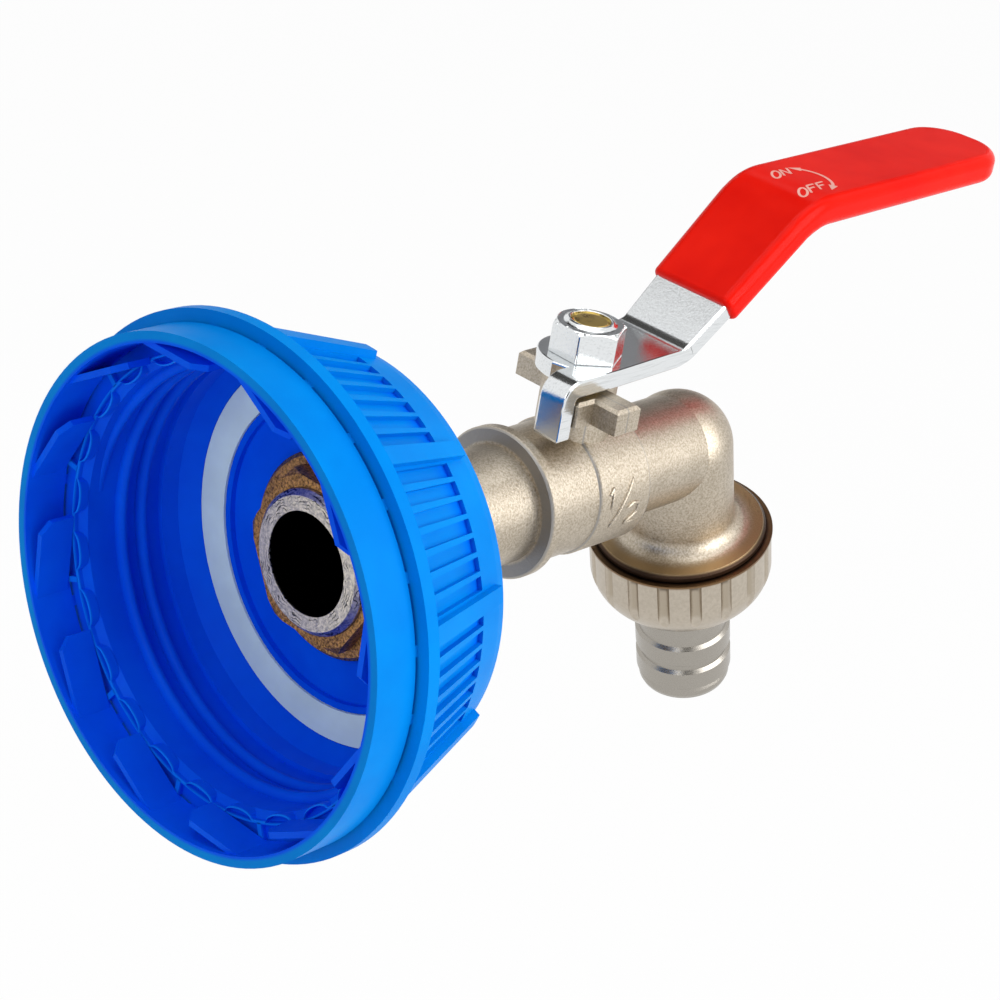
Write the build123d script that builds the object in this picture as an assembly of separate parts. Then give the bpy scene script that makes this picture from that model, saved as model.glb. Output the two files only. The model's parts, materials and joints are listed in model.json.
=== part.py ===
from build123d import *
import math
import os

# Jerry can tap: a screw cap with its tamper ring, a quarter turn ball tap and a hose union.
# Millimetres. The cap and the tap lie along +X, the valve stem points along +Z.
# The origin is on the cap axis, at the mouth of the cap's threaded wall.

# Screw cap
thread_wall_r = 30.9
thread_length = 12.6
lead_in = 0.9
mouth_step = 1.0
cap_depth = 19.4
floor_thickness = 2.4
cap_hole_clearance = 0.15
flange_reach = 7.1
flange_thickness = 1.9
skirt_front_wall = 5.7
skirt_taper = 6.1
back_edge_round = 2.3
sealing_land_step = 0.9
sealing_land_length = 3.0

# Tamper ring and its ratchet pawls
pawl_tip_clearance = 0.7
pawl_reach = 3.0
ring_wall = 1.6
ring_length = 6.55
ring_gap = 0.55
bridge_count = 24
bridge_width = 1.5
pawl_count = 12
pawl_thickness = 0.9
pawl_span_deg = 20.0
pawl_first_deg = -6.0
pawl_front_margin = 0.7
pawl_back_margin = 0.5
pawl_corner = 1.7

# Grip of the skirt: raised lugs with shallow pockets between them, so that fine ribs stay
lug_count = 10
lug_span_deg = 4.0
lug_first_deg = 20.0
lug_height = 1.2
lug_end_margin = 0.6
pockets_between_lugs = 7
pocket_width = 1.9
pocket_depth = 0.85
pocket_start_margin = 1.4
pocket_end_margin = 4.4

# Cap seal
seal_outer_r = 27.8
seal_width = 4.9
seal_thickness = 1.6
seal_side_gap = 0.1
seal_groove_depth = 0.4
ridge_width = 1.0
ridge_height = 0.9

# Inlet pipe, its two nuts and the outer washer
pipe_thread_r = 10.48
pipe_bore_r = 7.54
pipe_end_x = 13.3
pipe_end_chamfer = 0.8
thread_fit = 0.07
lock_nut_flange_r = 15.0
lock_nut_flange_thickness = 2.0
lock_nut_across_flats = 23.0
lock_nut_hex_height = 2.8
washer_outer_r = 15.0
washer_thickness = 2.0
back_nut_across_flats = 26.0
back_nut_height = 6.0
thread_runout = 1.7
stub_r = 9.0
collar_r = 11.6
collar_thickness = 2.1
collar_x = 50.9

# Valve body
body_seal_thickness = 0.5
body_seal_inner_step = 0.2
body_front_r = 10.3
body_middle_r = 10.7
body_front_length = 9.0
body_middle_length = 11.5
body_edge = 0.35
spigot_r = 8.4
spigot_length = 4.9
elbow_tube_r = 8.5
elbow_neck_r = 8.9
elbow_x = 93.0
outlet_lean_deg = 17.9
outlet_flange_at = 15.7
outlet_thread_r = 13.2
outlet_disc_r = 14.0
outlet_disc_thickness = 1.2
outlet_thread_length = 7.3
outlet_fillet = 2.6
outlet_edge = 0.5
flow_r = 5.0
outlet_bore_r = 6.5

# Ball, seats and stem
stem_x = 65.5
ball_r = 7.4
ball_fit = 0.04
seat_outer_gap = 0.05
seat_near_offset = 4.7
seat_far_offset = 7.6
cavity_r = 7.95
slot_width = 2.2
slot_depth = 2.0
tang_fit = 0.06
stem_r = 3.6
stem_disc_r = 4.3
stem_disc_height = 1.2
stem_fit = 0.05
thrust_washer_thickness = 0.5
stem_flats = 5.2
stem_thread_r = 3.0
stem_end_below_lip = 0.25
neck_wall = 1.0
neck_top_z = 18.0
packing_outer_r = 4.7
packing_height = 1.4
packing_count = 2
gland_height = 3.4
gland_slot_width = 1.4
gland_slot_depth = 1.2

# Stop plate cast around the neck: a heel for the open stop and two ears
stop_plate_thickness = 3.9
stop_gap = 0.2
heel_low_y = -7.6
heel_high_y = -2.6
open_ear_left = -5.4
open_ear_right = -0.3
open_ear_reach = 12.3
closed_ear_width = 5.0
closed_ear_reach = 10.7
stop_plate_edge = 0.5

# Lever: folded steel plate with a stop tab, a dipped sleeve and a hexagon nut
lever_thickness = 2.8
lever_gap = 0.7
lever_head_r = 7.2
tab_inner_offset = 9.0
tab_near_y = -7.2
tab_far_y = -2.4
tab_drop = 6.6
tab_bend_r = 2.0
valley_run = 16.1
valley_bend_r = 5.0
valley_half_width = 6.6
slope_half_width = 7.1
crest_run = 24.4
crest_rise = 19.8
crest_bend_r = 12.0
grip_half_width = 7.5
grip_run = 51.9
grip_rise = 1.1
lever_end_r = 6.4
sleeve_start_run = 7.7
sleeve_wall = 1.1
sleeve_edge_r = 1.8
sleeve_start_r = 0.8
sleeve_tip = 1.5
lever_nut_across_flats = 10.0
lever_nut_height = 4.9
lever_nut_chamfer = 0.8
lever_nut_turn_deg = 27.0
lever_nut_lip_wall = 0.7
lever_nut_lip_height = 0.55

# Hose union
gasket_thickness = 1.6
gasket_inner_r = 7.0
union_running_gap = 0.1
union_below_disc = 0.15
union_nut_r = 14.9
union_rim_height = 0.55
union_rim_step = 0.2
union_barrel_length = 6.4
union_bowl_length = 6.5
union_bowl_end_r = 9.6
union_bowl_swell = 0.68
union_hole_gap = 0.15
union_flute_count = 18
union_flute_first_deg = 9.0
union_flute_r = 1.0
union_flute_depth = 0.75
tail_flange_r = 11.2
tail_flange_thickness = 1.8
tail_neck_r = 7.2
tail_root_r = 7.4
tail_bore_r = 4.6
barb_r = 7.95
barb_land = 3.2
barb_flank = 0.55
first_barb_gap = 6.9
barb_pitch = 5.2
tail_end_r = 7.6
tail_end_length = 2.9
tail_end_round = 1.0

# Places worked out from the sizes above
seal_inner_r = seal_outer_r - seal_width
ring_inner_r = thread_wall_r + pawl_tip_clearance + pawl_reach
ring_outer_r = ring_inner_r + ring_wall
ring_back_x = -lead_in - ring_gap
ring_front_x = ring_back_x - ring_length
flange_r = thread_wall_r + flange_reach
flange_back_x = flange_thickness - lead_in
cap_back_x = cap_depth + floor_thickness
skirt_front_r = thread_wall_r + skirt_front_wall
skirt_back_r = skirt_front_r - skirt_taper
skirt_back_x = cap_back_x - back_edge_round
seal_floor_x = cap_depth + seal_groove_depth
seal_face_x = seal_floor_x - seal_thickness
cap_hole_r = pipe_thread_r + cap_hole_clearance
nut_bore_r = pipe_thread_r + thread_fit
washer_back_x = cap_back_x + washer_thickness
back_nut_end_x = washer_back_x + back_nut_height
stub_start_x = back_nut_end_x + thread_runout
collar_back_x = collar_x + collar_thickness
body_start_x = collar_back_x + body_seal_thickness
body_step_x = body_start_x + body_front_length
body_end_x = body_step_x + body_middle_length
spigot_end_x = stem_x - seat_far_offset
cavity_end_x = stem_x + seat_far_offset
stem_disc_z = ball_r + 0.2
stem_shoulder_z = stem_disc_z + stem_disc_height
neck_r = packing_outer_r + neck_wall
packing_start_z = stem_shoulder_z + thrust_washer_thickness + 2.6
packing_end_z = packing_start_z + packing_count * packing_height
gland_end_z = packing_end_z + gland_height
plate_bottom_z = neck_top_z + lever_gap
plate_middle_z = plate_bottom_z + lever_thickness / 2
plate_top_z = plate_bottom_z + lever_thickness
lever_nut_top_z = plate_top_z + lever_nut_height
lever_nut_lip_z = lever_nut_top_z + lever_nut_lip_height
valley_x = stem_x + valley_run
sleeve_start_x = valley_x + sleeve_start_run
crest_x = valley_x + crest_run
crest_z = plate_middle_z + crest_rise
lever_end_x = crest_x + grip_run
lever_end_z = crest_z + grip_rise
outlet_thread_at = outlet_flange_at + outlet_disc_thickness
outlet_end_at = outlet_thread_at + outlet_thread_length
gasket_end_at = outlet_end_at + gasket_thickness
tail_flange_end_at = gasket_end_at + tail_flange_thickness
union_start_at = outlet_thread_at + union_below_disc
union_bowl_at = union_start_at + union_rim_height + union_barrel_length
union_end_at = union_bowl_at + union_bowl_length
union_shoulder_at = tail_flange_end_at + union_running_gap
union_bore_r = outlet_thread_r + union_running_gap
union_hole_r = barb_r + union_hole_gap
first_barb_at = union_end_at + first_barb_gap
last_land_end_at = first_barb_at + barb_pitch + barb_land
tail_end_at = last_land_end_at + tail_end_length

# Axes of the two turned groups and of the stem
lean = math.radians(outlet_lean_deg)
pipe_axis = Plane((0, 0, 0), x_dir=(0, 1, 0), z_dir=(1, 0, 0))
outlet_axis = Plane((elbow_x, 0, 0), x_dir=(math.cos(lean), 0, math.sin(lean)),
                    z_dir=(math.sin(lean), 0, -math.cos(lean)))
stem_axis = Plane((stem_x, 0, 0), x_dir=(1, 0, 0), z_dir=(0, 0, 1))


def turned(points):
    """Solid of revolution about local Z from (radius, height) points."""
    outline = Polyline(*[(radius, 0, height) for radius, height in points], close=True)
    return revolve(make_face(outline), axis=Axis.Z)


def tube(outer_r, inner_r, start, end):
    """Plain ring about local Z."""
    return turned([(inner_r, start), (outer_r, start), (outer_r, end), (inner_r, end)])


def rod(radius, start, end):
    """Plain round bar about local Z."""
    return turned([(0, start), (radius, start), (radius, end), (0, end)])


def hexagon(across_flats, start, end, corner_chamfer, chamfer_start=True, chamfer_end=True):
    """Hexagon bar about local Z with its corners turned down at the chosen ends."""
    bar = extrude(Pos(0, 0, start) * RegularPolygon(across_flats / 2, 6, major_radius=False), end - start)
    corner_r = across_flats / math.sqrt(3) + 0.01
    rise = corner_chamfer * math.tan(math.radians(30))
    low_r = corner_r - corner_chamfer if chamfer_start else corner_r
    high_r = corner_r - corner_chamfer if chamfer_end else corner_r
    turned_form = turned([(0, start), (low_r, start), (corner_r, start + rise), (corner_r, end - rise),
                          (high_r, end), (0, end)])
    return bar & turned_form


def skirt_r_at(x):
    """Outer radius of the plain tapered skirt at a distance from the mouth."""
    share = (x - flange_back_x) / (skirt_back_x - flange_back_x)
    return skirt_front_r + share * (skirt_back_r - skirt_front_r)


def cap_shell():
    """Skirt, floor, seal groove and threaded wall as one turned form."""
    ridge_outer_r = seal_inner_r - seal_side_gap
    ridge_inner_r = ridge_outer_r - ridge_width
    pocket_r = seal_outer_r + seal_side_gap
    land_r = thread_wall_r - sealing_land_step
    land_end_x = thread_length + sealing_land_length
    return turned([
        (cap_hole_r, cap_depth), (ridge_inner_r, cap_depth), (ridge_inner_r, cap_depth - ridge_height),
        (ridge_outer_r, cap_depth - ridge_height), (ridge_outer_r, seal_floor_x), (pocket_r, seal_floor_x),
        (pocket_r, seal_face_x), (land_r, land_end_x), (land_r, thread_length),
        (thread_wall_r, thread_length), (thread_wall_r, 0), (thread_wall_r + mouth_step, -lead_in),
        (flange_r, -lead_in), (flange_r, flange_back_x), (skirt_front_r, flange_back_x),
        (skirt_back_r, skirt_back_x), (skirt_back_r - back_edge_round * 0.3, cap_back_x - back_edge_round * 0.3),
        (skirt_back_r - back_edge_round, cap_back_x), (cap_hole_r, cap_back_x)])


def taper_profile(start_x, end_x, below, above):
    """Four-sided profile that follows the taper of the skirt, in the plane of the cap axis."""
    return make_face(Polyline(
        (skirt_r_at(start_x) - below, 0, start_x), (skirt_r_at(start_x) + above, 0, start_x),
        (skirt_r_at(end_x) + above, 0, end_x), (skirt_r_at(end_x) - below, 0, end_x), close=True))


def grip_lugs():
    """Raised lugs, each a short turn of a profile along the skirt."""
    profile = taper_profile(flange_back_x, skirt_back_x - lug_end_margin, 0.8, lug_height)
    lug = Rot(0, 0, -lug_span_deg / 2) * revolve(profile, axis=Axis.Z, revolution_arc=lug_span_deg)
    return [Rot(0, 0, lug_first_deg + step * 360 / lug_count) * lug for step in range(lug_count)]


def grip_pockets():
    """Shallow pockets between the lugs; the skirt that stays between two of them is a rib."""
    profile = taper_profile(flange_back_x + pocket_start_margin, skirt_back_x - pocket_end_margin, pocket_depth, 2.0)
    pocket = extrude(profile, pocket_width / 2, both=True)
    pitch = 360 / lug_count
    free_span = pitch - lug_span_deg
    angles = [lug_first_deg + lug * pitch + lug_span_deg / 2 + free_span * (step + 0.5) / pockets_between_lugs
              for lug in range(lug_count) for step in range(pockets_between_lugs)]
    return [Rot(0, 0, angle) * pocket for angle in angles]


def tamper_ring():
    """Ring, the thin bridges that hold it to the skirt, and the ratchet pawls inside it."""
    pieces = [tube(ring_outer_r, ring_inner_r, ring_front_x, ring_back_x)]
    bridge_length = ring_gap + 0.6
    bridge = Pos(ring_outer_r - ring_wall / 2, 0, ring_back_x + ring_gap / 2) * Box(
        ring_wall * 0.7, bridge_width, bridge_length)
    for step in range(bridge_count):
        pieces.append(Rot(0, 0, pawl_first_deg + (step + 0.5) * 360 / bridge_count) * bridge)
    root_r = ring_inner_r + ring_wall * 0.4
    tip_r = thread_wall_r + pawl_tip_clearance + pawl_thickness / 2
    span = math.radians(pawl_span_deg)
    root = Vector(root_r * math.cos(-span), root_r * math.sin(-span), 0)
    tip = Vector(tip_r, 0, 0)
    along = (tip - root).normalized()
    reach = (tip - root).length
    front = ring_front_x + pawl_front_margin
    back = ring_back_x - pawl_back_margin
    plate_plane = Plane(root, x_dir=along, z_dir=along.cross(Vector(0, 0, 1)))
    outline = make_face(Polyline((0, front), (reach - pawl_corner, front), (reach, front + pawl_corner),
                                 (reach, back), (0, back), close=True))
    pawl = plate_plane * extrude(outline, pawl_thickness / 2, both=True)
    for step in range(pawl_count):
        pieces.append(Rot(0, 0, pawl_first_deg + step * 360 / pawl_count) * pawl)
    return pieces


def screw_cap():
    """The whole moulding: shell, grip and tamper ring."""
    moulding = cap_shell().cut(*grip_pockets()).fuse(*grip_lugs(), *tamper_ring())
    return pipe_axis * moulding


def cap_seal():
    """Flat sealing ring in its groove."""
    return pipe_axis * tube(seal_outer_r, seal_inner_r, seal_face_x, seal_floor_x)


def lock_nut():
    """Flanged hexagon nut inside the cap."""
    flange_start = cap_depth - lock_nut_flange_thickness
    hex_start = flange_start - lock_nut_hex_height
    edge = lock_nut_flange_thickness * 0.3
    flange = turned([(0, flange_start), (lock_nut_flange_r - edge, flange_start),
                     (lock_nut_flange_r, flange_start + edge), (lock_nut_flange_r, cap_depth), (0, cap_depth)])
    hex_form = hexagon(lock_nut_across_flats, hex_start, cap_depth, 1.0, chamfer_end=False)
    return pipe_axis * (flange + hex_form - rod(nut_bore_r, hex_start - 1, cap_depth + 1))


def cap_washer():
    """Rubber washer between the cap and the outer nut."""
    return pipe_axis * tube(washer_outer_r, cap_hole_r, cap_back_x, washer_back_x)


def back_nut():
    """Hexagon nut outside the cap."""
    form = hexagon(back_nut_across_flats, washer_back_x, back_nut_end_x, 1.2)
    return pipe_axis * (form - rod(nut_bore_r, washer_back_x - 1, back_nut_end_x + 1))


def inlet_pipe():
    """Threaded pipe, cast stub, collar and the spigot that screws into the body."""
    return pipe_axis * turned([
        (pipe_bore_r, pipe_end_x), (pipe_thread_r - pipe_end_chamfer, pipe_end_x),
        (pipe_thread_r, pipe_end_x + pipe_end_chamfer), (pipe_thread_r, back_nut_end_x),
        (stub_r, stub_start_x), (stub_r, collar_x), (collar_r - body_edge, collar_x),
        (collar_r, collar_x + body_edge), (collar_r, collar_back_x - body_edge),
        (collar_r - body_edge, collar_back_x), (spigot_r, collar_back_x), (spigot_r, spigot_end_x),
        (flow_r, spigot_end_x), (flow_r, collar_x), (pipe_bore_r, collar_x - pipe_bore_r + flow_r)])


def body_seal():
    """Thin ring between the collar and the body."""
    return pipe_axis * tube(body_front_r - body_edge, spigot_r + body_seal_inner_step, collar_back_x, body_start_x)


def stop_plate():
    """Flat cast plate around the neck: heel, open ear and closed ear in one outline."""
    low = neck_top_z - stop_plate_thickness
    heel_left = -tab_inner_offset + stop_gap
    closed_left = tab_far_y + stop_gap
    closed_right = closed_left + closed_ear_width
    outline = make_face(Polyline(
        (-neck_r, 0), (heel_left, heel_high_y), (heel_left, heel_low_y), (open_ear_left, heel_low_y - 0.1),
        (open_ear_left, -open_ear_reach), (open_ear_right, -open_ear_reach), (open_ear_right, -neck_r),
        (neck_r * 0.75, -neck_r * 0.6), (neck_r, 0), (neck_r * 0.75, neck_r * 0.6), (closed_right, neck_r * 0.8),
        (closed_right, closed_ear_reach), (closed_left, closed_ear_reach), (closed_left, neck_r * 0.95),
        (-neck_r * 0.75, neck_r * 0.6), close=True))
    plate = extrude(Pos(0, 0, low) * outline, stop_plate_thickness)
    return chamfer(plate.faces().sort_by(Axis.Z)[-1].edges(), stop_plate_edge)


def valve_body():
    """Cast body: ball housing, stem neck with its stops, elbow and threaded outlet."""
    housing = pipe_axis * turned([
        (0, body_start_x), (body_front_r - body_edge, body_start_x), (body_front_r, body_start_x + body_edge),
        (body_front_r, body_step_x), (body_middle_r, body_step_x + body_edge),
        (body_middle_r, body_end_x - body_edge), (body_middle_r - body_edge, body_end_x), (0, body_end_x)])
    elbow = pipe_axis * rod(elbow_tube_r, body_end_x - 1, elbow_x)
    neck = stem_axis * rod(neck_r, 0, neck_top_z)
    outlet = outlet_axis * outlet_form()
    solid = housing.fuse(elbow, neck, stem_axis * stop_plate(), outlet)
    return solid - body_passages()


def outlet_form():
    """Domed elbow corner, neck, fillet and threaded boss, turned about the outlet axis."""
    with_fillet = outlet_flange_at - outlet_fillet
    fillet_middle = outlet_fillet * (1 - math.sqrt(0.5))
    disc_top = outlet_disc_r - outlet_edge
    path = [
        ThreePointArc((0, 0, -elbow_neck_r), (elbow_neck_r * math.sqrt(0.5), 0, -elbow_neck_r * math.sqrt(0.5)),
                      (elbow_neck_r, 0, 0)),
        Line((elbow_neck_r, 0, 0), (elbow_neck_r, 0, with_fillet)),
        ThreePointArc((elbow_neck_r, 0, with_fillet),
                      (elbow_neck_r + fillet_middle, 0, outlet_flange_at - fillet_middle),
                      (elbow_neck_r + outlet_fillet, 0, outlet_flange_at)),
        Polyline((elbow_neck_r + outlet_fillet, 0, outlet_flange_at), (disc_top, 0, outlet_flange_at),
                 (outlet_disc_r, 0, outlet_flange_at + outlet_edge), (outlet_disc_r, 0, outlet_thread_at),
                 (outlet_thread_r, 0, outlet_thread_at), (outlet_thread_r, 0, outlet_end_at - outlet_edge),
                 (outlet_thread_r - outlet_edge, 0, outlet_end_at), (0, 0, outlet_end_at), (0, 0, -elbow_neck_r))]
    return revolve(make_face(path), axis=Axis.Z)


def body_passages():
    """Spigot bore, ball cavity, flow way, outlet bore and the stepped stem bore."""
    along_pipe = pipe_axis * (
        rod(spigot_r + stem_fit, body_start_x - 1, spigot_end_x)
        + rod(cavity_r, spigot_end_x - 0.5, cavity_end_x) + rod(flow_r, cavity_end_x - 0.5, elbow_x))
    bend = turned([(0, -flow_r), (flow_r * 0.5, -flow_r * 0.87), (flow_r * 0.87, -flow_r * 0.5), (flow_r, 0),
                   (flow_r, outlet_flange_at - outlet_bore_r), (outlet_bore_r, outlet_flange_at),
                   (outlet_bore_r, outlet_end_at + 1), (0, outlet_end_at + 1)])
    shoulder = stem_shoulder_z + thrust_washer_thickness
    stem_way = turned([(0, 0), (stem_disc_r + stem_fit, 0), (stem_disc_r + stem_fit, shoulder),
                       (stem_r + stem_fit, shoulder), (stem_r + stem_fit, packing_start_z),
                       (packing_outer_r, packing_start_z), (packing_outer_r, neck_top_z + 1), (0, neck_top_z + 1)])
    return along_pipe.fuse(outlet_axis * bend, stem_axis * stem_way)


def ball():
    """Bored ball with the slot for the stem across its top."""
    form = Sphere(ball_r) - Rot(0, 90, 0) * Cylinder(flow_r, 3 * ball_r)
    slot = Pos(0, 0, ball_r - slot_depth / 2 + 0.5) * Box(slot_width, 3 * ball_r, slot_depth + 1)
    return stem_axis * (form - slot)


def seat(side):
    """Soft ring with a spherical face; side is -1 towards the inlet and +1 towards the outlet."""
    ring = tube(cavity_r - seat_outer_gap, flow_r, seat_near_offset, seat_far_offset) - Sphere(ball_r + ball_fit)
    turn = Rot(0, 90, 0) if side > 0 else Rot(0, -90, 0)
    return stem_axis * (turn * ring)


def stem():
    """Tang, retaining disc, round shaft, flats for the lever and threaded end."""
    top = lever_nut_lip_z - stem_end_below_lip
    shaft = turned([(0, stem_disc_z), (stem_disc_r, stem_disc_z), (stem_disc_r, stem_shoulder_z),
                    (stem_r, stem_shoulder_z), (stem_r, plate_top_z - 0.3), (stem_thread_r, plate_top_z - 0.3),
                    (stem_thread_r, top - 0.5), (stem_thread_r - 0.5, top), (0, top)])
    tang_low = ball_r - slot_depth + 0.1
    tang = Pos(0, 0, (tang_low + stem_disc_z) / 2 + 0.1) * Box(
        slot_width - 2 * tang_fit, 2 * stem_disc_r - 2.4, stem_disc_z - tang_low + 0.2)
    flat_bottom = plate_bottom_z - 0.6
    flat_height = plate_top_z - flat_bottom
    for side in (-1, 1):
        shaft -= Pos(side * (stem_flats / 2 + stem_r), 0, flat_bottom + flat_height / 2) * Box(
            2 * stem_r, 4 * stem_r, flat_height)
    return stem_axis * (shaft + tang)


def thrust_washer():
    """Slip ring between the stem's disc and the body."""
    return stem_axis * tube(stem_disc_r - stem_fit, stem_r + stem_fit, stem_shoulder_z,
                            stem_shoulder_z + thrust_washer_thickness)


def packing(index):
    """One packing ring in the stem neck."""
    start = packing_start_z + index * packing_height
    return stem_axis * tube(packing_outer_r, stem_r + stem_fit, start, start + packing_height)


def gland_nut():
    """Slotted ring that screws down on the packing."""
    ring = tube(packing_outer_r - stem_fit, stem_r + stem_fit, packing_end_z, gland_end_z)
    slot = Pos(0, 0, gland_end_z) * Box(4 * packing_outer_r, gland_slot_width, 2 * gland_slot_depth)
    return stem_axis * (ring - slot)


def lever_path(start, end):
    """Middle line of the folded plate in side view, between two of its corner points."""
    tab_x = stem_x - tab_inner_offset - lever_thickness / 2
    points = [(tab_x, plate_bottom_z - tab_drop), (tab_x, plate_middle_z), (valley_x, plate_middle_z),
              (crest_x, crest_z), (lever_end_x, lever_end_z)]
    radii = [tab_bend_r, valley_bend_r, crest_bend_r]
    return points[start:end], radii[start:end - 2]


def folded_plate(points, radii, thickness, width):
    """Plate of even thickness along a folded side line, centred on the XZ plane."""
    side = trace(FilletPolyline(*points, radius=radii), line_width=thickness)
    return Rot(90, 0, 0) * extrude(side, width / 2, both=True)


def plan_prism(outline):
    """Upright prism that trims a folded plate to its plan outline."""
    return extrude(outline, 4 * crest_z, both=True)


def lever_outline():
    """Plan of the plate: stop tab, round head, waist at the fold, grip with a round end."""
    tab_x = stem_x - tab_inner_offset - 2 * lever_thickness
    notch_x = stem_x - tab_inner_offset + lever_thickness * 0.9
    half_turn = lever_head_r * math.sqrt(0.5)
    grip_end = lever_end_x - lever_end_r
    end_middle = lever_end_r * math.sqrt(0.5)
    end_flat = grip_half_width - lever_end_r
    edges = [
        Polyline((tab_x, tab_near_y), (stem_x, -lever_head_r), (valley_x, -valley_half_width),
                 (sleeve_start_x, -slope_half_width), (crest_x, -grip_half_width), (grip_end, -grip_half_width)),
        ThreePointArc((grip_end, -grip_half_width), (grip_end + end_middle, -end_flat - end_middle),
                      (lever_end_x, -end_flat)),
        Line((lever_end_x, -end_flat), (lever_end_x, end_flat)),
        ThreePointArc((lever_end_x, end_flat), (grip_end + end_middle, end_flat + end_middle),
                      (grip_end, grip_half_width)),
        Polyline((grip_end, grip_half_width), (crest_x, grip_half_width), (sleeve_start_x, slope_half_width),
                 (valley_x, valley_half_width), (stem_x, lever_head_r)),
        ThreePointArc((stem_x, lever_head_r), (stem_x - half_turn, half_turn), (stem_x - lever_head_r, 0)),
        Polyline((stem_x - lever_head_r, 0), (notch_x, tab_far_y), (tab_x, tab_far_y), (tab_x, tab_near_y))]
    return make_face(edges)


def lever():
    """Folded steel plate with the stop tab and the hole for the stem's flats."""
    points, radii = lever_path(0, 5)
    plate = folded_plate(points, radii, lever_thickness, 4 * lever_head_r)
    hole = rod(stem_r + stem_fit, plate_bottom_z - 1, plate_top_z + 1) & Pos(0, 0, plate_middle_z) * Box(
        stem_flats + 2 * stem_fit, 4 * stem_r, 4 * lever_thickness)
    return (plate & plan_prism(lever_outline())) - stem_axis * hole


def sleeve_outline():
    """Plan of the dipped sleeve: the plate's plan grown by the wall."""
    start = sleeve_start_x - 4 * sleeve_wall
    end_r = lever_end_r + sleeve_wall
    start_w = slope_half_width + sleeve_wall * 0.6
    grip_w = grip_half_width + sleeve_wall
    tip_x = lever_end_x + sleeve_tip
    end_x = tip_x - end_r
    middle = end_r * math.sqrt(0.5)
    flat = grip_w - end_r
    return make_face([
        Polyline((start, -start_w), (crest_x, -grip_w), (end_x, -grip_w)),
        ThreePointArc((end_x, -grip_w), (end_x + middle, -flat - middle), (tip_x, -flat)),
        Line((tip_x, -flat), (tip_x, flat)),
        ThreePointArc((tip_x, flat), (end_x + middle, flat + middle), (end_x, grip_w)),
        Polyline((end_x, grip_w), (crest_x, grip_w), (start, start_w), (start, -start_w))])


def lever_sleeve():
    """Soft sleeve over the grip, rounded at its long edges and cut out by the plate."""
    slope = (crest_z - plate_middle_z) / (crest_x - valley_x)
    start = (sleeve_start_x, plate_middle_z + slope * (sleeve_start_x - valley_x))
    rise = (lever_end_z - crest_z) / (lever_end_x - crest_x)
    tip_x = lever_end_x + sleeve_tip
    tip = (tip_x, lever_end_z + rise * sleeve_tip)
    full = folded_plate([start, (crest_x, crest_z), tip], [crest_bend_r], lever_thickness + 2 * sleeve_wall,
                        4 * grip_half_width)
    form = full & plan_prism(sleeve_outline())
    long_edges = [edge for edge in form.edges()
                  if edge.center().X > sleeve_start_x + 2 * sleeve_wall and abs(edge.tangent_at(0.5).Z) < 0.9]
    rounded = fillet(long_edges, sleeve_edge_r)
    start_face = min(rounded.faces(), key=lambda face: (face.center() - Vector(start[0], 0, start[1])).length)
    return fillet(start_face.edges(), sleeve_start_r) - lever()


def lever_nut():
    """Hexagon nut with a raised lip, on the stem's threaded end."""
    form = hexagon(lever_nut_across_flats, plate_top_z, lever_nut_top_z, lever_nut_chamfer, chamfer_start=False)
    lip_r = stem_thread_r + lever_nut_lip_wall
    lip = turned([(0, lever_nut_top_z - 1), (lip_r + 0.4, lever_nut_top_z - 0.01), (lip_r, lever_nut_lip_z - 0.25),
                  (lip_r - 0.25, lever_nut_lip_z), (0, lever_nut_lip_z)])
    solid = Rot(0, 0, lever_nut_turn_deg) * form + lip
    return stem_axis * (solid - rod(stem_thread_r + stem_fit, plate_top_z - 1, lever_nut_lip_z + 1))


def hose_gasket():
    """Flat gasket between the outlet and the hose tail."""
    return outlet_axis * tube(tail_flange_r, gasket_inner_r, outlet_end_at, gasket_end_at)


def union_nut():
    """Fluted round nut with a bowl end, turned and then fluted."""
    rim_r = union_nut_r + union_rim_step
    seat_r = tail_flange_r + union_running_gap
    thread_end = outlet_end_at + union_running_gap
    bowl_middle_r = union_bowl_end_r + (union_nut_r - union_bowl_end_r) * union_bowl_swell
    bowl_middle_at = union_bowl_at + union_bowl_length * 0.6
    form = make_face([
        Polyline((union_bore_r, 0, union_start_at), (rim_r, 0, union_start_at),
                 (rim_r, 0, union_start_at + union_rim_height - union_rim_step),
                 (union_nut_r, 0, union_start_at + union_rim_height), (union_nut_r, 0, union_bowl_at)),
        ThreePointArc((union_nut_r, 0, union_bowl_at), (bowl_middle_r, 0, bowl_middle_at),
                      (union_bowl_end_r, 0, union_end_at)),
        Polyline((union_bowl_end_r, 0, union_end_at), (union_hole_r, 0, union_end_at),
                 (union_hole_r, 0, union_shoulder_at), (seat_r, 0, union_shoulder_at), (seat_r, 0, thread_end),
                 (union_bore_r, 0, thread_end), (union_bore_r, 0, union_start_at))])
    nut = revolve(form, axis=Axis.Z)
    flute_start = union_start_at + union_rim_height
    flute = Pos(union_nut_r + union_flute_r - union_flute_depth, 0, 0) * rod(
        union_flute_r, flute_start, union_end_at + 1)
    nut -= [Rot(0, 0, union_flute_first_deg + step * 360 / union_flute_count) * flute
            for step in range(union_flute_count)]
    return outlet_axis * nut


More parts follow.
